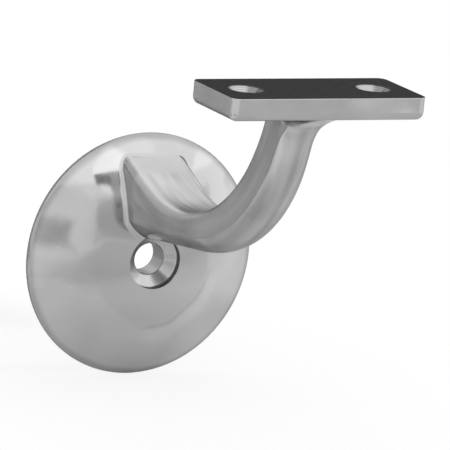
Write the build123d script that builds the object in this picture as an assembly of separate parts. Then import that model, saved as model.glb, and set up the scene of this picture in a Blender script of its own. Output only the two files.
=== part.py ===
from build123d import *
from math import acos, atan2, cos, degrees, radians, sin, sqrt, tan
import os

# A cast handrail bracket: a domed wall plate, a curved arm and a rail plate in one piece.
# The wall is the plane y = 0, the room is towards -Y, up is +Z and sizes are in millimetres.
# The origin is where the axis of the wall screw meets the wall.

# Wall plate
plate_diameter = 72.5
plate_rise = 11.5
plate_edge_radius = 1.5
relief_depth = 2.0
relief_outer_radius = 28.0
relief_inner_radius = 12.0

# Wall screw hole: a counterbore, a drilled cone and a through bore
bore_radius = 4.7
counterbore_radius = 8.1
cone_top = 8.8
cone_angle = 118.0

# Rail plate
rail_offset = 93.3
rail_plate_length = 60.0
rail_plate_depth = 26.0
rail_plate_thickness = 6.5
rail_plate_top = 69.7
rail_corner_radius = 2.4
rail_lower_radius = 2.2

# Rail screw holes
rail_screw_spacing = 39.5
rail_hole_radius = 3.0
rail_mouth_radius = 5.0
rail_mouth_angle = 90.0

# Arm, seen from the side: its wall side is inset from the rail plate's wall-side edge
arm_inset = 0.4
bend_radius = 46.1
bend_low = 21.9
root_rim = 5.4
belly_radius = 55.7
belly_low = 10.8
belly_offset = 36.6
belly_line_angle = 7.6
flare_radius = 18.0
side_flare_radius = 6.3

# Arm, across its width: at the wall plate and at the rail plate
root_width = 21.3
root_crease_width = 18.8
root_belly_rise = 5.7
root_corner = 3.0
tip_width = 11.2
tip_crease_width = 9.9
tip_belly_rise = 2.3
tip_corner = 0.9
arm_sink = 2.0
relief_clearance = 0.5
taper_power = 1.3
root_fillet = 1.6

# Worked out from the sizes above
plate_radius = plate_diameter / 2
rail_plate_back = rail_plate_depth / 2 - rail_offset
rail_plate_under = rail_plate_top - rail_plate_thickness
rail_plate_front = -rail_offset - rail_plate_depth / 2
rail_edge_centre = Vector(0, rail_plate_front, rail_plate_under) + Vector(0, 1, 1) * rail_lower_radius
bend_centre = Vector(0, rail_plate_back - arm_inset + bend_radius, bend_low + bend_radius)
belly_centre = Vector(0, -belly_offset, belly_low + belly_radius)
edge_centre = plate_radius - plate_edge_radius
dome_radius = (edge_centre**2 + plate_rise**2 - plate_edge_radius**2) / (
    2 * (plate_rise - plate_edge_radius)
)
dome_centre = dome_radius - plate_rise
root_end = -relief_depth - relief_clearance

# The straight top line leaves the wall plate below its rim and touches the bend's circle
root_top = Vector(0, root_end, plate_radius - root_rim)
to_root = root_top - bend_centre
top_line_angle = degrees(atan2(to_root.Y, -to_root.Z) - acos(min(1, bend_radius / to_root.length)))

# The flare's circle touches the belly's and the rounding of the rail plate's lower edge
belly_to_edge = rail_edge_centre - belly_centre
edge_way = belly_to_edge.normalized()
flare_reach = belly_radius + flare_radius
edge_reach = rail_lower_radius + flare_radius
flare_along = (flare_reach**2 - edge_reach**2 + belly_to_edge.length**2) / (2 * belly_to_edge.length)
flare_aside = sqrt(flare_reach**2 - flare_along**2)
flare_centre = belly_centre + edge_way * flare_along + Vector(0, -edge_way.Z, edge_way.Y) * flare_aside
flare_start = flare_centre + (belly_centre - flare_centre).normalized() * flare_radius
flare_end = flare_centre + (rail_edge_centre - flare_centre).normalized() * flare_radius


def wall_plate():
    """The domed round plate, revolved, with a rounded edge and a shallow relief behind it."""
    to_edge = Vector(edge_centre, -dome_centre).normalized()
    shoulder = Vector(0, dome_centre) + to_edge * dome_radius
    edge_middle = Vector(edge_centre, 0) + (Vector(1, 0) + to_edge).normalized() * plate_edge_radius
    crown = Vector(0, -plate_rise)
    dome_middle = Vector(0, dome_centre) + (to_edge + Vector(0, -1)).normalized() * dome_radius
    outline = [
        Line((0, 0), (plate_radius, 0)),
        ThreePointArc((plate_radius, 0), edge_middle, shoulder),
        ThreePointArc(shoulder, dome_middle, crown),
        Line(crown, (0, 0)),
    ]
    plate = revolve(make_face(outline), axis=Axis.Y)
    relief = Cylinder(relief_outer_radius, 2 * relief_depth) - Cylinder(relief_inner_radius, 2 * relief_depth)
    return plate - Rot(X=90) * relief


def wall_screw_hole():
    """The cutter for the wall screw: counterbore, cone and bore on one axis."""
    cone_depth = (counterbore_radius - bore_radius) / tan(radians(cone_angle / 2))
    mouth = 2 * plate_rise
    outline = Polyline(
        (0, plate_rise),
        (bore_radius, plate_rise),
        (bore_radius, cone_depth - cone_top),
        (counterbore_radius, -cone_top),
        (counterbore_radius, -mouth),
        (0, -mouth),
        close=True,
    )
    return revolve(make_face(outline), axis=Axis.Y)


def side_point(centre, radius, angle):
    """A point on a circle seen from the side, at an angle from straight down towards the room."""
    return centre + Vector(0, -sin(radians(angle)), -cos(radians(angle))) * radius


def angle_to(centre, point):
    """The angle, as side_point takes it, at which a point is seen from a centre."""
    return degrees(atan2(centre.Y - point.Y, centre.Z - point.Z))


def ray_to_belly(angle):
    """Where a ray from the bend's centre meets the belly's arc."""
    way = side_point(Vector(), 1, angle)
    start = bend_centre - belly_centre
    half_b = start.dot(way)
    reach = sqrt(half_b**2 - start.dot(start) + belly_radius**2) - half_b
    return bend_centre + way * reach


def between(start, end, count):
    """Evenly spaced values from start to end, both of them included."""
    return [start + (end - start) * n / (count - 1) for n in range(count)]


def root_stations(count=8):
    """Pairs of points on the arm's top and belly, from inside the wall plate to the bend."""
    line_end = side_point(bend_centre, bend_radius, -top_line_angle)
    belly_end = side_point(belly_centre, belly_radius, belly_line_angle)
    pairs = []
    for y in between(root_end, bend_centre.Y, count):
        if y < line_end.Y:
            top = bend_centre.Z - sqrt(bend_radius**2 - (y - bend_centre.Y) ** 2)
        else:
            top = line_end.Z + (y - line_end.Y) * tan(radians(top_line_angle))
        belly = belly_end.Z + (belly_end.Y - y) * tan(radians(belly_line_angle))
        pairs.append((Vector(0, y, top), Vector(0, y, belly)))
    return pairs


def bend_stations(count=7):
    """Pairs of points round the bend, on rays from its centre, up to where the flare starts."""
    angles = between(0, angle_to(bend_centre, flare_start), count)[1:]
    return [(side_point(bend_centre, bend_radius, angle), ray_to_belly(angle)) for angle in angles]


def flare_stations(count=11):
    """Pairs of points up the flare, turning to level where it meets the rail plate."""
    inner_end = degrees(acos((bend_centre.Z - flare_end.Z) / bend_radius))
    inner_angles = between(angle_to(bend_centre, flare_start), inner_end, count)[1:]
    outer_start = angle_to(flare_centre, flare_start)
    outer_angles = between(outer_start, angle_to(flare_centre, flare_end), count)[1:]
    return [
        (side_point(bend_centre, bend_radius, inner), side_point(flare_centre, flare_radius, outer))
        for inner, outer in zip(inner_angles, outer_angles)
    ]


def side_flare(point):
    """How far the creases spread to each side at a point of the belly, as a fillet under the rail plate."""
    depth = min(flare_end.Z - point.Z, side_flare_radius)
    return side_flare_radius - sqrt(side_flare_radius**2 - (side_flare_radius - depth) ** 2)


def arm_section(inner, outer, share):
    """One section across the arm: flat top at inner, sloping sides, crisp creases, convex belly."""
    taper = share**taper_power
    half = (root_width + taper * (tip_width - root_width)) / 2
    crease_half = (root_crease_width + taper * (tip_crease_width - root_crease_width)) / 2 + side_flare(outer)
    belly_rise = root_belly_rise + share * (tip_belly_rise - root_belly_rise)
    corner = root_corner + share * (tip_corner - root_corner)
    reach = outer - inner
    along = Vector(1, 0, 0).cross(reach.normalized())
    plane = Plane(origin=inner, x_dir=(1, 0, 0), z_dir=along)
    crease = reach.length - belly_rise
    outline = [
        Line((-half, 0), (half, 0)),
        Line((half, 0), (crease_half, crease)),
        ThreePointArc((crease_half, crease), (0, reach.length), (-crease_half, crease)),
        Line((-crease_half, crease), (-half, 0)),
    ]
    section = make_face(outline)
    return plane * fillet(section.vertices().sort_by(Axis.Y)[:2], corner)


def arm():
    """The arm, lofted through sections from inside the wall plate to the rail plate's underside."""
    pairs = root_stations() + bend_stations() + flare_stations()
    inners = [inner for inner, outer in pairs]
    steps = [(b - a).length for a, b in zip(inners, inners[1:])]
    shares = [sum(steps[:n]) / sum(steps) for n in range(len(pairs))]
    curve = loft([arm_section(inner, outer, share) for (inner, outer), share in zip(pairs, shares)])
    level_end = curve.faces().filter_by(GeomType.PLANE).sort_by(Axis.Z)[-1]
    return curve + extrude(level_end, amount=arm_sink, dir=(0, 0, 1))


def rail_plate():
    """The flat plate under the handrail: a sharp top edge, and rounded corners and lower edges."""
    size = (rail_plate_length, rail_plate_depth, rail_plate_thickness)
    plate = Pos(0, -rail_offset, rail_plate_top) * Box(*size, align=(Align.CENTER, Align.CENTER, Align.MAX))
    plate = fillet(plate.edges().filter_by(Axis.Z), rail_corner_radius)
    return fillet(plate.faces().sort_by(Axis.Z)[0].edges(), rail_lower_radius)


def rail_screw_holes():
    """The cutters for the two rail screws, open wide at both faces."""
    mouth_depth = (rail_mouth_radius - rail_hole_radius) / tan(radians(rail_mouth_angle / 2))
    outline = Polyline(
        (0, rail_plate_under),
        (rail_mouth_radius, rail_plate_under),
        (rail_hole_radius, rail_plate_under + mouth_depth),
        (rail_hole_radius, rail_plate_top - mouth_depth),
        (rail_mouth_radius, rail_plate_top),
        (0, rail_plate_top),
        close=True,
    )
    cutter = revolve(Plane.XZ * make_face(outline), axis=Axis.Z)
    return [Pos(x, -rail_offset, 0) * cutter for x in (-rail_screw_spacing / 2, rail_screw_spacing / 2)]


def bracket():
    """The whole casting: the arm is blended into the wall plate, and the screw holes are cut last."""
    wall = wall_plate()
    curved_arm = arm()
    casting = wall + curved_arm
    casting = fillet(new_edges(wall, curved_arm, combined=casting), root_fillet)
    casting = casting + rail_plate() - wall_screw_hole()
    for hole in rail_screw_holes():
        casting = casting - hole
    return casting


os.makedirs("parts", exist_ok=True)
export_step(bracket(), "parts/bracket.step")
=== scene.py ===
"""Dresses the cast handrail bracket in its satin metal and sets it on a plain pale stage."""

import math

import bpy
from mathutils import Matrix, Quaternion, Vector


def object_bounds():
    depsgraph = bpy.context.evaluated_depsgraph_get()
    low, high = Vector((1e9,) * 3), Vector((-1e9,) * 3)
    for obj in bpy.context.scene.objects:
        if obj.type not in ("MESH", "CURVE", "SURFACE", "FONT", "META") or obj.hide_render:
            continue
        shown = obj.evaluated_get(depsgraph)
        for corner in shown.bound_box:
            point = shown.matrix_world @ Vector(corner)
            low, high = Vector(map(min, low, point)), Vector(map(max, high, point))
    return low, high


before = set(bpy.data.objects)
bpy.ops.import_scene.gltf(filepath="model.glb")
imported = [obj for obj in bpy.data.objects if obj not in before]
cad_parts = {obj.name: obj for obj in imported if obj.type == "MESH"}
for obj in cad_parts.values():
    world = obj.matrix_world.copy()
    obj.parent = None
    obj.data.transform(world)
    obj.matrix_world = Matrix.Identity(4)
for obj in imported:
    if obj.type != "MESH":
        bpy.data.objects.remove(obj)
CAD_LOW, CAD_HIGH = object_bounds()
CASTING = "bracket"

bl_info = {
    "name": "Cast handrail bracket",
    "version": (1, 0, 0),
    "blender": (4, 5, 0),
    "location": "3D Viewport > Sidebar > Bracket",
    "description": "Finishes the cast handrail bracket and sets its stage",
    "category": "3D View",
}

# The zones of the casting are given in millimetres, from the point where the wall screw's axis meets
# the wall, with the room towards -Y and up towards +Z. Two numbers say where a zone begins and where
# it is complete, or, for one that ends, where it begins to end and where it is gone. In a name with
# TURN they are parts of the surface's normal.
MM = 1000.0
TOP = CAD_HIGH.z * MM

# Unpolished faces: the dark face under the handrail and the face behind the wall plate
RAIL_FACE_HEIGHT = (TOP - 0.12, TOP - 0.04)
RAIL_FACE_TURN = (0.5, 0.8)
BACK_DEPTH = (-2.2, -1.9)
BACK_TURN = (0.5, 0.8)

# The wall screw's seat, counterbore and bore. The borders are given from the seat's radius.
SEAT_BORDER = (-0.1, 0.0)
SEAT_DEPTH = (-10.6, -10.2)
SEAT_RIGHT = (1.0, 5.0)
COUNTERBORE_TURN = (0.9, 0.97)
COUNTERBORE_INNER_BORDER = (-0.25, -0.15)
COUNTERBORE_OUTER_BORDER = (0.1, 0.2)
COUNTERBORE_FOOT = (-8.9, -8.7)
BORE_RADIUS = (4.8, 4.9)
RING_WAVINESS = 3.0

# The rail screw holes
HOLE_RADIUS = (5.0, 5.1)
HOLE_HEIGHT = (62.8, 63.4)
HOLE_LIP_HEIGHT = (TOP - 0.35, TOP - 0.1)
HOLE_SHADE_TURN = (0.25, 0.5)

# The wall plate. Its darker middle and its rim, which gets a painted dark reflection, have wavy borders,
# given from their radii. A painted dark line and a painted light band follow the middle's border at the
# lower right, painted shade lies in a corner at each side of the arm, and painted light lies to the right.
PLATE_DEPTH = (-13.0, -12.0)
MIDDLE_BORDER = (-1.0, 1.0)
MIDDLE_WAVINESS = 6.0
RIM_BORDER = (-1.0, 0.8)
RIM_WAVINESS = 1.5
LOW_RIGHT_ACROSS = (-6.0, 3.0)
LOW_RIGHT_DOWN = (1.0, 9.0)
DARK_LINE_OFFSET = 0.9
DARK_LINE_HALF_WIDTH = (0.2, 1.5)
LIGHT_BAND_OFFSET = 4.0
LIGHT_BAND_HALF_WIDTH = (0.6, 3.4)
CORNER_ACROSS = 16.5
CORNER_UP = 9.0
CORNER_RADIUS = (1.5, 7.5)
RIGHT_ACROSS = (15.0, 27.0)
RIGHT_UP = (-18.0, -9.0)

# The arm, and where painted light and shade go on its belly, its sides and its creases
ARM_ROOT = (-13.5, -10.9)
ARM_TIP = (58.0, 63.0)
BELLY_TURN = (-0.1, 0.2)
BELLY_MIDDLE_SHADE_HALF_WIDTH = (0.2, 1.6)
BELLY_LEFT_TURN = (0.1, 0.5)
BELLY_ROOT = (-58.0, -48.0)
BELLY_TIP = (30.0, 50.0)
SIDE_TURN = (0.93, 0.98)
SIDE_ROOT = (-52.0, -32.0)
SIDE_TIP = (24.0, 54.0)
CREASE_TURN = (0.004, 0.06)
CREASE_BEND_RADIUS = (51.0, 53.0)

# The top rounding at the right of the arm's root, and the blend of the arm under the rail plate, which get
# painted highlights
ROUND_TURN_ACROSS = (0.2, 0.36)
ROUND_TURN_UP = (0.5, 0.65)
ROUND_ROOT = (-45.0, -25.0)
ROUND_RADIUS = (29.8, 31.4)
TIP_BLEND_TURN = (0.7, 0.86)
TIP_BLEND_FOOT = (58.5, 60.5)
TIP_BLEND_HEAD = (62.6, 63.1)

# Share of the arm's edge radius that the other edges have, and how finely the edges are softened
OTHER_EDGES = 0.35
EDGE_SAMPLES = 8

# Patterns of the metal: the width of a blob, its detail and how strong the detail is
GRAIN = (0.35, 3.0, 0.6)
MOTTLE = (1.1, 4.0, 0.65)
CLOUDS = (14.0, 3.0, 0.5)
SMOOTH_DETAIL = 1.0

# Millimetres of the streaks' pattern to one radian round the bend. Fewer make the streaks longer.
STREAK_STRETCH = 6.0

# Heights of the relief that the light shows, in millimetres
GRAIN_HEIGHT = 0.0006
MOTTLE_HEIGHT = 0.12
STREAK_HEIGHT = 0.32
RING_HEIGHT = 0.008
THREAD_HEIGHT = 0.012
MIDDLE_HEIGHT = 0.07

# What is added to the roughness
GRAIN_ROUGHNESS = 0.05
CLOUD_ROUGHNESS = 0.08
SEAT_ROUGHNESS = 0.06
UNPOLISHED_ROUGHNESS = 0.4

# How far the metal's colour varies to both sides, and what the counterbore keeps of it as painted shade
TONE_SPREAD = 0.15
COUNTERBORE_SHARE = 0.95

# The darkest and lightest spots of the unpolished faces, as shares of their colours
RAIL_FACE_SPOTS = (0.7, 1.5)
BACK_SPOTS = (0.8, 1.2)

# How much lighter the polish's streaks are, and the painted light and shade of each zone, where 1 leads
# from the darkest metal to the lightest
STREAK_TONE = 1.8
PAINTED_LIGHT_AND_SHADE = {
    # Painted shade on the seat's right side, in the bore and in the rail screw holes, a painted shadow
    # line under the holes' lip, and the drill's rings painted as darker stripes in place of their
    # reflections
    "seat_right": -0.5,
    "bore": -0.7,
    "hole": -0.4,
    "hole_threads": -0.3,
    "hole_shade": -1.5,
    "hole_lip": -1.5,
    # Painted dark reflection on the plate's rim, a painted dark line and a painted light band at its lower
    # right, painted shade in the corners beside the arm and painted light on its right
    "rim": -0.9,
    "painted_dark_line": -0.4,
    "painted_light_band": 0.25,
    "corner": -0.3,
    "right": 0.45,
    # Painted shade and light on the arm's belly, sides and creases, with a painted dark line down the
    # belly's middle, and painted highlights on the rounding right of its root and on its blend under the
    # rail plate
    "belly_middle_shade": -0.35,
    "belly_left": -0.65,
    "belly_left_root": 1.6,
    "belly_left_tip": 0.85,
    "side_root": 0.65,
    "side_tip": -0.75,
    "side_crease": -1.5,
    "side_crease_root": 1.0,
    "belly_crease": 0.6,
    "round_right": 2.3,
    "tip_blend": 1.4,
}

# The stage, in metres: the width of the floor, and how far the object's shadow reaches on it
FLOOR_SIZE = 12.0
SHADOW_REACH = (0.02, 0.12)

# White light, and the share of it that the surround gives to what isn't seen directly
WHITE = (1.0, 1.0, 1.0, 1.0)
SURROUND_SHARE = 0.75

# Each lamp: its place from the middle of the casting, its width and its radiance
LAMPS = {
    "lamp_ceiling": ((0.0, 0.0, 0.75), 3.4, 0.28),
    "lamp_front": ((0.06, -0.75, 0.5), 0.42, 0.32),
    "lamp_glow": ((0.06, -0.75, 0.52), 0.8, 0.14),
    "lamp_right": ((0.806, -0.326, 0.233), 0.45, 0.33),
}

# Each grey card: its place, the way it faces, its width, its height and the width of its soft edge
ON_FLOOR = CAD_LOW.z + 0.001
UPWARDS = (0.0, 0.0, 1.0)
CARDS = {
    "card_wall": ((-0.17, 0.012, 0.08), (0.0, -1.0, 0.0), 0.34, 0.3, 0.04),
    "card_table": ((0.115, -0.48, ON_FLOOR), UPWARDS, 0.45, 0.9, 0.08),
    "card_behind": ((-0.29, 0.23, ON_FLOOR), UPWARDS, 0.64, 0.4, 0.04),
    "card_left": ((-0.37, -0.03, ON_FLOOR), UPWARDS, 0.48, 0.18, 0.04),
    "card_front": ((0.386, -0.757, 0.15), (-0.454, 0.891, 0.0), 1.3, 0.42, 0.1),
    "card_camera": ((-0.118, -0.19, 0.006), (0.47, 0.88, 0.0), 0.096, 0.084, 0.035),
}

# In its own coordinates a card reaches this far to each side of its middle, and these are the
# blobs that make its soft edge uneven
CARD_HALF = 0.5
CARD_BLOB = 0.3

# The camera's sensor in millimetres, and the nearest and farthest things it shows in metres
SENSOR_WIDTH = 36.0
NEAREST = 0.05
FARTHEST = 50.0


class CastMetalSettings(bpy.types.PropertyGroup):
    """The finish of the casting."""

    metal: bpy.props.FloatVectorProperty(
        name="Metal",
        description="Colour of the polished metal",
        default=(0.5, 0.5, 0.505),
        subtype="COLOR",
        min=0,
        max=1,
    )
    # How dark the middle of the wall plate is: the share of the metal's colour that it keeps
    middle_share: bpy.props.FloatProperty(
        name="Middle share",
        description="Share of the light that the dimmer middle of the wall plate keeps",
        default=0.93,
        min=0,
        max=1,
        subtype="FACTOR",
    )
    arm_satin: bpy.props.FloatProperty(
        name="Arm satin",
        description="Roughness of the arm, which is brushed along its length",
        default=0.24,
        min=0.05,
        max=1,
        subtype="FACTOR",
    )
    satin: bpy.props.FloatProperty(
        name="Satin",
        description="Roughness of the polished surfaces",
        default=0.11,
        min=0.05,
        max=1,
        subtype="FACTOR",
    )
    edge_tint: bpy.props.FloatVectorProperty(
        name="Edge tint",
        description="How much light the metal keeps where it is seen at a shallow angle",
        default=(0.5, 0.5, 0.5),
        subtype="COLOR",
        min=0,
        max=1,
    )
    edge_radius: bpy.props.FloatProperty(
        name="Edge radius",
        description="Radius to which polishing has softened the arm's edges",
        default=0.0016,
        min=0,
        precision=5,
        unit="LENGTH",
        subtype="DISTANCE",
    )
    wave_size: bpy.props.FloatProperty(
        name="Wave size",
        description="Width of the shallow waves that polishing by hand leaves",
        default=0.02,
        min=0.001,
        unit="LENGTH",
        subtype="DISTANCE",
    )
    wave_depth: bpy.props.FloatProperty(
        name="Wave depth",
        description="Depth of the shallow waves that polishing by hand leaves",
        default=0.001,
        min=0,
        precision=6,
        unit="LENGTH",
        subtype="DISTANCE",
    )
    streak_width: bpy.props.FloatProperty(
        name="Streak width",
        description="Width of the polishing streaks that follow the arm round its bend",
        default=0.003,
        min=0.0005,
        precision=4,
        unit="LENGTH",
        subtype="DISTANCE",
    )
    bend_centre: bpy.props.FloatVectorProperty(
        name="Bend centre",
        description="Point that the arm bends round",
        default=(0.0, -0.0346, 0.068),
        subtype="TRANSLATION",
        unit="LENGTH",
    )
    ring_pitch: bpy.props.FloatProperty(
        name="Ring pitch",
        description="Distance between the drill's rings in the wall screw's seat and the rail screw holes",
        default=0.0005,
        min=0.0001,
        precision=5,
        unit="LENGTH",
        subtype="DISTANCE",
    )
    # The middle of the wall plate is darker than the metal around it
    middle_radius: bpy.props.FloatProperty(
        name="Middle radius",
        description="Radius of the wall plate's dim middle",
        default=0.0185,
        min=0.001,
        precision=4,
        unit="LENGTH",
        subtype="DISTANCE",
    )
    # The rim of the wall plate gets a painted dark reflection from this radius on
    rim_radius: bpy.props.FloatProperty(
        name="Rim radius",
        description="Radius at which the wall plate's painted dark rim begins",
        default=0.0348,
        min=0.001,
        precision=4,
        unit="LENGTH",
        subtype="DISTANCE",
    )
    seat_radius: bpy.props.FloatProperty(
        name="Seat radius",
        description="Radius of the drilled seat of the wall screw",
        default=0.0082,
        min=0.001,
        precision=5,
        unit="LENGTH",
        subtype="DISTANCE",
    )
    hole_spacing: bpy.props.FloatProperty(
        name="Hole spacing",
        description="Distance between the two rail screw holes",
        default=0.0395,
        min=0.001,
        precision=4,
        unit="LENGTH",
        subtype="DISTANCE",
    )
    hole_place: bpy.props.FloatProperty(
        name="Hole place",
        description="Where the rail screw holes lie in front of the wall",
        default=-0.0933,
        precision=4,
        unit="LENGTH",
        subtype="DISTANCE",
    )
    # The face that the handrail lies on is coloured dark
    rail_face: bpy.props.FloatVectorProperty(
        name="Rail face",
        description="Colour of the dark face that the handrail lies on",
        default=(0.042, 0.042, 0.043),
        subtype="COLOR",
        min=0,
        max=1,
    )
    back_face: bpy.props.FloatVectorProperty(
        name="Back",
        description="Colour of the unpolished back of the wall plate",
        default=(0.3, 0.3, 0.3),
        subtype="COLOR",
        min=0,
        max=1,
    )


class StageSettings(bpy.types.PropertyGroup):
    """The floor, the grey cards and the camera."""

    floor: bpy.props.FloatVectorProperty(
        name="Floor",
        description="Colour of the floor",
        default=(0.9, 0.9, 0.9),
        subtype="COLOR",
        min=0,
        max=1,
    )
    card: bpy.props.FloatVectorProperty(
        name="Card",
        description="Colour of the grey cards that the metal reflects",
        default=(0.76, 0.76, 0.76),
        subtype="COLOR",
        min=0,
        max=1,
    )
    shadow: bpy.props.FloatProperty(
        name="Shadow",
        description="How much of the object's shadow the floor shows the camera",
        default=0.16,
        min=0,
        max=1,
        subtype="FACTOR",
    )
    mirrored_shadow: bpy.props.FloatProperty(
        name="Mirrored shadow",
        description="How much of the object's shadow the floor shows in the metal",
        default=0.8,
        min=0,
        max=1,
        subtype="FACTOR",
    )
    lens: bpy.props.FloatProperty(
        name="Lens",
        description="Focal length of the camera, in millimetres",
        default=411.6,
        min=10,
        unit="CAMERA",
    )
    distance: bpy.props.FloatProperty(
        name="Distance",
        description="Distance from the camera to the middle of its picture",
        default=1.4769,
        min=0.2,
        unit="LENGTH",
        subtype="DISTANCE",
    )
    azimuth: bpy.props.FloatProperty(
        name="Azimuth",
        description="Turn of the camera round the bracket, from the wall's normal",
        default=math.radians(-28.12),
        subtype="ANGLE",
    )
    elevation: bpy.props.FloatProperty(
        name="Elevation",
        description="Height of the camera above the horizon",
        default=math.radians(12.58),
        subtype="ANGLE",
    )
    roll: bpy.props.FloatProperty(
        name="Roll",
        description="Turn of the camera about its own axis",
        default=math.radians(5.51),
        subtype="ANGLE",
    )
    aim: bpy.props.FloatVectorProperty(
        name="Aim",
        description="Point in the middle of the camera's picture",
        default=(0.00924, -0.03441, 0.01668),
        subtype="TRANSLATION",
        unit="LENGTH",
    )


class Wire:
    """A shader socket. Python's operators on it add Math nodes."""

    def __init__(self, graph, socket):
        self.graph = graph
        self.socket = socket

    def maths(self, operation, *values):
        return self.graph.node("ShaderNodeMath", {"operation": operation}, dict(enumerate(values)))

    def __add__(self, other):
        return self.maths("ADD", self, other)

    def __radd__(self, other):
        return self.maths("ADD", other, self)

    def __sub__(self, other):
        return self.maths("SUBTRACT", self, other)

    def __rsub__(self, other):
        return self.maths("SUBTRACT", other, self)

    def __mul__(self, other):
        return self.maths("MULTIPLY", self, other)

    def __rmul__(self, other):
        return self.maths("MULTIPLY", other, self)

    def __pow__(self, other):
        return self.maths("POWER", self, other)

    def __rpow__(self, other):
        return self.maths("POWER", other, self)

    def sine(self):
        return self.maths("SINE", self)

    def size(self):
        return self.maths("ABSOLUTE", self)

    def angle(self, other):
        return self.maths("ARCTAN2", self, other)

    def larger(self, other):
        return self.maths("MAXIMUM", self, other)

    def smaller(self, other):
        return self.maths("MINIMUM", self, other)


class Graph:
    """A node tree that is filled by calls."""

    def __init__(self, owner):
        owner.use_nodes = True
        self.tree = owner.node_tree
        self.tree.nodes.clear()

    def node(self, kind, settings=None, values=None, output=0):
        """Adds a node: its settings first, then the values or links of its sockets."""
        node = self.tree.nodes.new(kind)
        for name, setting in (settings or {}).items():
            setattr(node, name, setting)
        for name, value in (values or {}).items():
            if isinstance(value, Wire):
                self.tree.links.new(value.socket, node.inputs[name])
            else:
                node.inputs[name].default_value = value
        if not len(node.outputs):
            return None
        return Wire(self, node.outputs[output])

    def parts(self, vector):
        """The x, y and z of a vector."""
        first = self.node("ShaderNodeSeparateXYZ", {}, {0: vector})
        return [Wire(self, socket) for socket in first.socket.node.outputs]

    def rise(self, value, low, high):
        """Rises smoothly from 0 at low to 1 at high."""
        settings = {"interpolation_type": "SMOOTHSTEP"}
        values = {"Value": value, "From Min": low, "From Max": high}
        return self.node("ShaderNodeMapRange", settings, values)

    def fall(self, value, low, high):
        """Falls smoothly from 1 at low to 0 at high."""
        return 1 - self.rise(value, low, high)

    def noise(self, place, size, detail, strength=0.5):
        """Noise between 0 and 1 whose blobs are about size across, in the units of place."""
        values = {"Vector": place, "Scale": 1 / size, "Detail": detail, "Roughness": strength}
        return self.node("ShaderNodeTexNoise", {}, values)

    def blend(self, factor, first, second, clamped=True):
        """A colour between first and second, or beyond them where the factor isn't clamped."""
        settings = {"data_type": "RGBA", "clamp_factor": clamped}
        return self.node("ShaderNodeMix", settings, {0: factor, 6: first, 7: second}, output=2)


def opaque(colour, share=1.0):
    """A share of a colour property, with its alpha."""
    return (*(value * share for value in colour), 1.0)


def from_place(place, borders):
    """Two borders that are given from a place, as borders from the origin."""
    return [place + border for border in borders]


def reach(first, second):
    """How far two distances at right angles reach together."""
    return (first * first + second * second) ** 0.5


def swing(noise):
    """How far a noise lies above or below its middle."""
    return noise - 0.5


class Surface:
    """What the finishes follow: where a point of the casting lies, its normal and its patterns."""

    def __init__(self, graph, settings):
        metres = graph.node("ShaderNodeTexCoord", output="Object")
        place = graph.node("ShaderNodeVectorMath", {"operation": "SCALE"}, {"Vector": metres, "Scale": MM})
        self.normal = graph.node("ShaderNodeTexCoord", output="Normal")
        self.x, self.y, self.z = graph.parts(place)
        self.across, self.out, self.up = graph.parts(self.normal)
        self.radius = reach(self.x, self.z)
        self.sideways = reach(self.across, self.up)

        beside = self.x.size() - settings.hole_spacing / 2 * MM
        before = self.y - settings.hole_place * MM
        self.hole_radius = reach(beside, before)

        behind = self.y - settings.bend_centre[1] * MM
        below = settings.bend_centre[2] * MM - self.z
        self.bend_radius = reach(behind, below)
        along = behind.angle(below) * STREAK_STRETCH
        lengthways = graph.node("ShaderNodeCombineXYZ", {}, {0: self.x, 1: self.bend_radius, 2: along})

        self.streaks = graph.noise(lengthways, settings.streak_width * MM, SMOOTH_DETAIL)
        self.waves = graph.noise(place, settings.wave_size * MM, SMOOTH_DETAIL)
        self.grain = graph.noise(place, *GRAIN)
        self.mottle = graph.noise(place, *MOTTLE)
        self.clouds = graph.noise(place, *CLOUDS)

        turn = 2 * math.pi / (settings.ring_pitch * MM)
        self.rings = (self.radius * turn + self.waves * RING_WAVINESS).sine()
        self.threads = (self.z * turn).sine()


def unpolished_zones(graph, surface):
    """The faces that stay as they were cast."""
    rail_face = graph.rise(surface.z, *RAIL_FACE_HEIGHT) * graph.rise(surface.up, *RAIL_FACE_TURN)
    back = graph.rise(surface.y, *BACK_DEPTH) * graph.rise(surface.out, *BACK_TURN)
    return {"rail_face": rail_face, "back": back, "unpolished": rail_face + back}


def drilled_zones(graph, surface, settings, zones):
    """The wall screw's seat, counterbore and bore, and the rail screw holes, and where painted shade and a
    painted shadow line go in them.
    """
    seat_radius = settings.seat_radius * MM
    seat = graph.fall(surface.radius, *from_place(seat_radius, SEAT_BORDER))
    seat = seat * graph.rise(surface.y, *SEAT_DEPTH)
    inner = from_place(seat_radius, COUNTERBORE_INNER_BORDER)
    outer = from_place(seat_radius, COUNTERBORE_OUTER_BORDER)
    counterbore = graph.rise(surface.sideways, *COUNTERBORE_TURN) * graph.rise(surface.radius, *inner)
    counterbore = counterbore * graph.fall(surface.radius, *outer)
    counterbore = counterbore * graph.fall(surface.y, *COUNTERBORE_FOOT)
    hole = graph.fall(surface.hole_radius, *HOLE_RADIUS) * graph.rise(surface.z, *HOLE_HEIGHT)
    hole = hole * (1 - zones["rail_face"])
    # Masks for the painted shade in the seat, bore and holes, and for the drill's rings, which are also
    # painted darker
    return {
        "seat": seat,
        "seat_right": seat * graph.rise(surface.x, *SEAT_RIGHT),
        "counterbore": counterbore,
        "bore": graph.fall(surface.radius, *BORE_RADIUS) * (1 - zones["back"]),
        "hole": hole,
        "hole_threads": hole * surface.threads,
        "hole_shade": hole * graph.rise(0 - surface.across, *HOLE_SHADE_TURN),
        "hole_lip": hole * graph.rise(surface.z, *HOLE_LIP_HEIGHT),
    }


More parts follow.
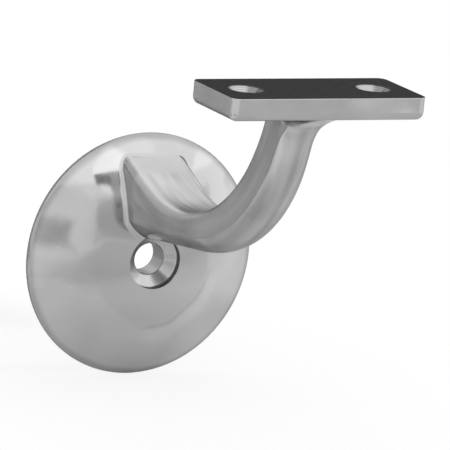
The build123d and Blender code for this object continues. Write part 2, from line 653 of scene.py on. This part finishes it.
def plate_zones(graph, surface, settings, zones):
    """The wall plate's darker middle, the painted dark reflection on its rim, and the painted light and
    shade between them.
    """
    plate = graph.rise(surface.y, *PLATE_DEPTH)
    waves = swing(surface.waves)
    middle_radius = settings.middle_radius * MM
    middle_borders = from_place(middle_radius, MIDDLE_BORDER)
    from_middle = surface.radius + waves * MIDDLE_WAVINESS
    middle = (1 - zones["seat"]) * graph.fall(from_middle, *middle_borders) * plate
    rim_borders = from_place(settings.rim_radius * MM, RIM_BORDER)
    rim = graph.rise(surface.radius + waves * RIM_WAVINESS, *rim_borders) * plate
    low_right = plate * graph.rise(surface.x, *LOW_RIGHT_ACROSS)
    low_right = low_right * graph.rise(0 - surface.z, *LOW_RIGHT_DOWN)
    from_dark_line = (from_middle - middle_radius - DARK_LINE_OFFSET).size()
    from_light_band = (from_middle - middle_radius - LIGHT_BAND_OFFSET).size()
    from_corner = reach(surface.x.size() - CORNER_ACROSS, surface.z - CORNER_UP)
    # The rim gets a painted dark reflection, the corners beside the arm painted shade and the plate's
    # right side painted light
    return {
        "middle": middle,
        "middle_low_right": middle * low_right,
        "rim": rim,
        "painted_dark_line": low_right * graph.fall(from_dark_line, *DARK_LINE_HALF_WIDTH),
        "painted_light_band": low_right * graph.fall(from_light_band, *LIGHT_BAND_HALF_WIDTH),
        "corner": plate * graph.fall(from_corner, *CORNER_RADIUS),
        "right": plate * graph.rise(surface.x, *RIGHT_ACROSS) * graph.rise(surface.z, *RIGHT_UP),
    }


def arm_zones(graph, surface, arm, softened):
    """Where painted light and shade go on the arm's belly, sides and creases, and the roundings at its
    root and under the rail plate, which get painted highlights.
    """
    values = {0: softened, 1: surface.normal}
    agreement = graph.node("ShaderNodeVectorMath", {"operation": "DOT_PRODUCT"}, values, output="Value")
    crease = arm * graph.rise(1 - agreement, *CREASE_TURN)
    crease = crease * graph.rise(surface.bend_radius, *CREASE_BEND_RADIUS)
    side = arm * graph.rise(surface.across.size(), *SIDE_TURN)
    belly = arm * graph.fall(surface.up, *BELLY_TURN)
    belly_left = arm * (1 - side) * graph.rise(0 - surface.across, *BELLY_LEFT_TURN)
    near_root = graph.rise(surface.y, *BELLY_ROOT)
    round_right = graph.rise(surface.across, *ROUND_TURN_ACROSS) * graph.rise(surface.up, *ROUND_TURN_UP)
    round_right = round_right * graph.rise(surface.y, *ROUND_ROOT)
    round_right = round_right * graph.fall(surface.radius, *ROUND_RADIUS)
    tip_blend = graph.rise(surface.z, *TIP_BLEND_FOOT) * graph.fall(surface.z, *TIP_BLEND_HEAD)
    # Masks for the painted light and shade on the arm, and for the painted highlights on its roundings
    return {
        "belly_middle_shade": belly * graph.fall(surface.x.size(), *BELLY_MIDDLE_SHADE_HALF_WIDTH),
        "belly_left": belly_left,
        "belly_left_root": belly_left * near_root,
        "belly_left_tip": belly_left * graph.rise(surface.z, *BELLY_TIP),
        "belly_crease": crease * belly_left,
        "side_root": side * graph.rise(surface.y, *SIDE_ROOT),
        "side_tip": side * graph.rise(surface.z, *SIDE_TIP),
        "side_crease": crease * side,
        "side_crease_root": crease * side * near_root,
        "round_right": round_right,
        "tip_blend": tip_blend * graph.rise(0 - surface.up, *TIP_BLEND_TURN),
    }


def metal_colour(graph, surface, settings, zones):
    """The metal, with a random tone, polishing streaks and painted light and shade from place to place,
    and the faces without polish.
    """
    tone_and_painted_light = surface.clouds + swing(surface.streaks) * zones["arm"] * STREAK_TONE
    # Painted light and shade, zone by zone, on top of the random tone and the polishing streaks
    for name, change in PAINTED_LIGHT_AND_SHADE.items():
        tone_and_painted_light = tone_and_painted_light + zones[name] * change
    darkest = opaque(settings.metal, 1 - TONE_SPREAD)
    lightest = opaque(settings.metal, 1 + TONE_SPREAD)
    colour = graph.blend(tone_and_painted_light, darkest, lightest, clamped=False)
    # The middle of the wall plate is darker, and there it takes the place of the painted light and shade
    colour = graph.blend(zones["middle"], colour, opaque(settings.metal, settings.middle_share))
    # Painted shade in the counterbore
    colour = graph.blend(zones["counterbore"], colour, opaque(settings.metal, COUNTERBORE_SHARE))
    back_spots = [opaque(settings.back_face, share) for share in BACK_SPOTS]
    colour = graph.blend(zones["back"], colour, graph.blend(surface.mottle, *back_spots))
    rail_face_spots = [opaque(settings.rail_face, share) for share in RAIL_FACE_SPOTS]
    return graph.blend(zones["rail_face"], colour, graph.blend(surface.mottle, *rail_face_spots))


def metal_roughness(surface, settings, zones):
    """Smooth where it is polished, a little rougher on the arm and rough where it isn't polished."""
    roughness = settings.satin + zones["arm"] * (settings.arm_satin - settings.satin)
    roughness = roughness + swing(surface.clouds) * CLOUD_ROUGHNESS
    roughness = roughness + swing(surface.grain) * GRAIN_ROUGHNESS
    return roughness + zones["seat"] * SEAT_ROUGHNESS + zones["unpolished"] * UNPOLISHED_ROUGHNESS


def metal_height(surface, settings, zones):
    """The relief in millimetres: polishing waves and streaks, drill rings and cast grain."""
    height = surface.waves * (settings.wave_depth * MM) * (1 - zones["seat"])
    height = height + swing(surface.streaks) * zones["arm"] * STREAK_HEIGHT
    height = height + surface.grain * GRAIN_HEIGHT
    height = height + zones["seat"] * surface.rings * RING_HEIGHT
    height = height + zones["hole_threads"] * THREAD_HEIGHT
    height = height + zones["middle_low_right"] * MIDDLE_HEIGHT
    return height + zones["unpolished"] * surface.mottle * MOTTLE_HEIGHT


def cast_metal(settings):
    """One casting: polished satin metal with painted light and shade, drilled screw holes and unpolished
    faces.
    """
    material = bpy.data.materials.new("cast_metal")
    graph = Graph(material)
    surface = Surface(graph, settings)
    arm = graph.fall(surface.y, *ARM_ROOT) * graph.fall(surface.z, *ARM_TIP)
    edge_radius = settings.edge_radius * (OTHER_EDGES + arm * (1 - OTHER_EDGES))
    softened = graph.node("ShaderNodeBevel", {"samples": EDGE_SAMPLES}, {"Radius": edge_radius})
    zones = {"arm": arm}
    zones.update(unpolished_zones(graph, surface))
    zones.update(drilled_zones(graph, surface, settings, zones))
    zones.update(plate_zones(graph, surface, settings, zones))
    zones.update(arm_zones(graph, surface, arm, softened))

    height = metal_height(surface, settings, zones)
    values = {"Strength": 1.0, "Distance": 1 / MM, "Height": height, "Normal": softened}
    bump = graph.node("ShaderNodeBump", {}, values)
    values = {
        "Base Color": metal_colour(graph, surface, settings, zones),
        "Metallic": 1 - zones["rail_face"],
        "Roughness": metal_roughness(surface, settings, zones),
        "Normal": bump,
        "Specular IOR Level": 0.0,
        "Specular Tint": opaque(settings.edge_tint),
    }
    shader = graph.node("ShaderNodeBsdfPrincipled", {}, values)
    graph.node("ShaderNodeOutputMaterial", {}, {"Surface": shader})
    return material


def seen_directly(graph):
    """One for what the camera sees, straight or in a reflection or through glass."""
    names = ("Is Camera Ray", "Is Glossy Ray", "Is Transmission Ray")
    camera, glossy, through = (graph.node("ShaderNodeLightPath", output=name) for name in names)
    return camera.larger(glossy).larger(through)


def floor_paint(settings):
    """A pale floor that stays white in the picture and in the metal, and keeps a soft shadow."""
    material = bpy.data.materials.new("floor")
    graph = Graph(material)
    lit = graph.node("ShaderNodeBsdfDiffuse", {}, {"Color": opaque(settings.floor)})
    white = graph.node("ShaderNodeEmission", {}, {"Color": WHITE, "Strength": 1.0})
    place = graph.node("ShaderNodeTexCoord", output="Object")
    radius = graph.node("ShaderNodeVectorMath", {"operation": "LENGTH"}, {0: place}, output="Value")
    seen = graph.node("ShaderNodeLightPath", output="Is Camera Ray")
    share = settings.mirrored_shadow + seen * (settings.shadow - settings.mirrored_shadow)
    shadow = share * graph.fall(radius, *SHADOW_REACH)
    values = {0: seen_directly(graph) * (1 - shadow), 1: lit, 2: white}
    above = graph.node("ShaderNodeMixShader", {}, values)
    below = graph.node("ShaderNodeNewGeometry", output="Backfacing")
    clear = graph.node("ShaderNodeBsdfTransparent")
    shader = graph.node("ShaderNodeMixShader", {}, {0: below, 1: above, 2: clear})
    graph.node("ShaderNodeOutputMaterial", {}, {"Surface": shader})
    return material


def card_paint(name, colour, width, height, softness):
    """Plain matt card that fades out towards its edges, so that its mirror image has soft borders."""
    material = bpy.data.materials.new(name)
    graph = Graph(material)
    place = graph.node("ShaderNodeTexCoord", output="Object")
    across, along, _ = graph.parts(place)
    to_side = (CARD_HALF - across.size()) * width
    to_end = (CARD_HALF - along.size()) * height
    ragged = to_side.smaller(to_end) + swing(graph.noise(place, CARD_BLOB, SMOOTH_DETAIL)) * softness
    matt = graph.node("ShaderNodeBsdfDiffuse", {}, {"Color": opaque(colour)})
    clear = graph.node("ShaderNodeBsdfTransparent")
    values = {0: graph.rise(ragged, 0.0, softness), 1: clear, 2: matt}
    shader = graph.node("ShaderNodeMixShader", {}, values)
    graph.node("ShaderNodeOutputMaterial", {}, {"Surface": shader})
    return material


def light_world():
    """An even white surround."""
    world = bpy.data.worlds.new("surround")
    bpy.context.scene.world = world
    graph = Graph(world)
    strength = SURROUND_SHARE + seen_directly(graph) * (1 - SURROUND_SHARE)
    background = graph.node("ShaderNodeBackground", {}, {"Color": WHITE, "Strength": strength})
    graph.node("ShaderNodeOutputWorld", {}, {"Surface": background})


def facing_turn(place, target):
    """The turn that points an object's -Z from place to target."""
    return (target - place).to_track_quat("-Z", "Y")


def add_floor(settings):
    """The floor that the casting's lowest point rests on."""
    bpy.ops.mesh.primitive_plane_add(size=FLOOR_SIZE, location=(0, 0, CAD_LOW.z))
    floor = bpy.context.object
    floor.name = "floor"
    floor.data.materials.append(floor_paint(settings))


def add_lamp(name, offset, size, radiance):
    """A round soft box of a given radiance that shines on the middle of the casting."""
    middle = (CAD_LOW + CAD_HIGH) / 2
    place = middle + Vector(offset)
    bpy.ops.object.light_add(type="AREA", location=place)
    lamp = bpy.context.object
    lamp.name = name
    lamp.rotation_mode = "QUATERNION"
    lamp.rotation_quaternion = facing_turn(place, middle)
    lamp.data.shape = "DISK"
    lamp.data.size = size
    area = math.pi * size * size / 4
    lamp.data.energy = radiance * math.pi * area
    lamp.visible_camera = False


def add_card(name, colour, place, way, width, height, softness):
    """A flat grey card that faces a given way and that only the metal shows."""
    bpy.ops.mesh.primitive_plane_add(size=1, location=place)
    card = bpy.context.object
    card.name = name
    card.scale = (width, height, 1)
    card.rotation_mode = "QUATERNION"
    card.rotation_quaternion = Vector(way).to_track_quat("Z", "Y")
    card.data.materials.append(card_paint(name, colour, width, height, softness))
    card.visible_camera = False
    card.visible_shadow = False


def place_camera(settings):
    """The camera, at the photograph's viewing angle."""
    level = math.cos(settings.elevation)
    sideways = math.sin(settings.azimuth) * level
    outwards = -math.cos(settings.azimuth) * level
    back = Vector((sideways, outwards, math.sin(settings.elevation)))
    aim = Vector(settings.aim)
    place = aim + back * settings.distance
    bpy.ops.object.camera_add(location=place)
    camera = bpy.context.object
    camera.name = "camera"
    camera.rotation_mode = "QUATERNION"
    camera.rotation_quaternion = facing_turn(place, aim) @ Quaternion((0, 0, 1), settings.roll)
    camera.data.sensor_width = SENSOR_WIDTH
    camera.data.lens = settings.lens
    camera.data.clip_start = NEAREST
    camera.data.clip_end = FARTHEST
    bpy.context.scene.camera = camera


class BRACKET_OT_finish_casting(bpy.types.Operator):
    """Gives the casting its polished, drilled and unpolished surfaces"""

    bl_idname = "bracket.finish_casting"
    bl_label = "Finish the casting"

    def execute(self, context):
        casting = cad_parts.get(CASTING)
        if casting is None:
            raise RuntimeError("the packed model has no casting")
        material = cast_metal(context.scene.cast_metal)
        casting.data.materials.clear()
        casting.data.materials.append(material)
        return {"FINISHED"}


class BRACKET_OT_set_stage(bpy.types.Operator):
    """Adds the floor, the surround, the lamps, the grey cards and the camera"""

    bl_idname = "bracket.set_stage"
    bl_label = "Set the stage"

    def execute(self, context):
        settings = context.scene.stage
        bpy.ops.object.select_all(action="DESELECT")
        add_floor(settings)
        light_world()
        for name, lamp in LAMPS.items():
            add_lamp(name, *lamp)
        for name, card in CARDS.items():
            add_card(name, settings.card, *card)
        place_camera(settings)
        context.scene.view_settings.view_transform = "Standard"
        return {"FINISHED"}


class BRACKET_PT_sidebar(bpy.types.Panel):
    """Lists the steps and their settings in the 3D view's sidebar"""

    bl_label = "Cast handrail bracket"
    bl_space_type = "VIEW_3D"
    bl_region_type = "UI"
    bl_category = "Bracket"

    def draw(self, context):
        steps = (
            (BRACKET_OT_finish_casting, context.scene.cast_metal),
            (BRACKET_OT_set_stage, context.scene.stage),
        )
        for step, settings in steps:
            box = self.layout.box()
            box.operator(step.bl_idname)
            for name in settings.__annotations__:
                box.prop(settings, name)


CLASSES = (
    CastMetalSettings,
    StageSettings,
    BRACKET_OT_finish_casting,
    BRACKET_OT_set_stage,
    BRACKET_PT_sidebar,
)


def register():
    for cls in CLASSES:
        bpy.utils.register_class(cls)
    bpy.types.Scene.cast_metal = bpy.props.PointerProperty(type=CastMetalSettings)
    bpy.types.Scene.stage = bpy.props.PointerProperty(type=StageSettings)


def unregister():
    del bpy.types.Scene.stage
    del bpy.types.Scene.cast_metal
    for cls in reversed(CLASSES):
        bpy.utils.unregister_class(cls)


def main():
    register()
    bpy.ops.object.select_all(action="DESELECT")
    bpy.ops.bracket.finish_casting()
    bpy.ops.bracket.set_stage()


if __name__ == "__main__":
    main()
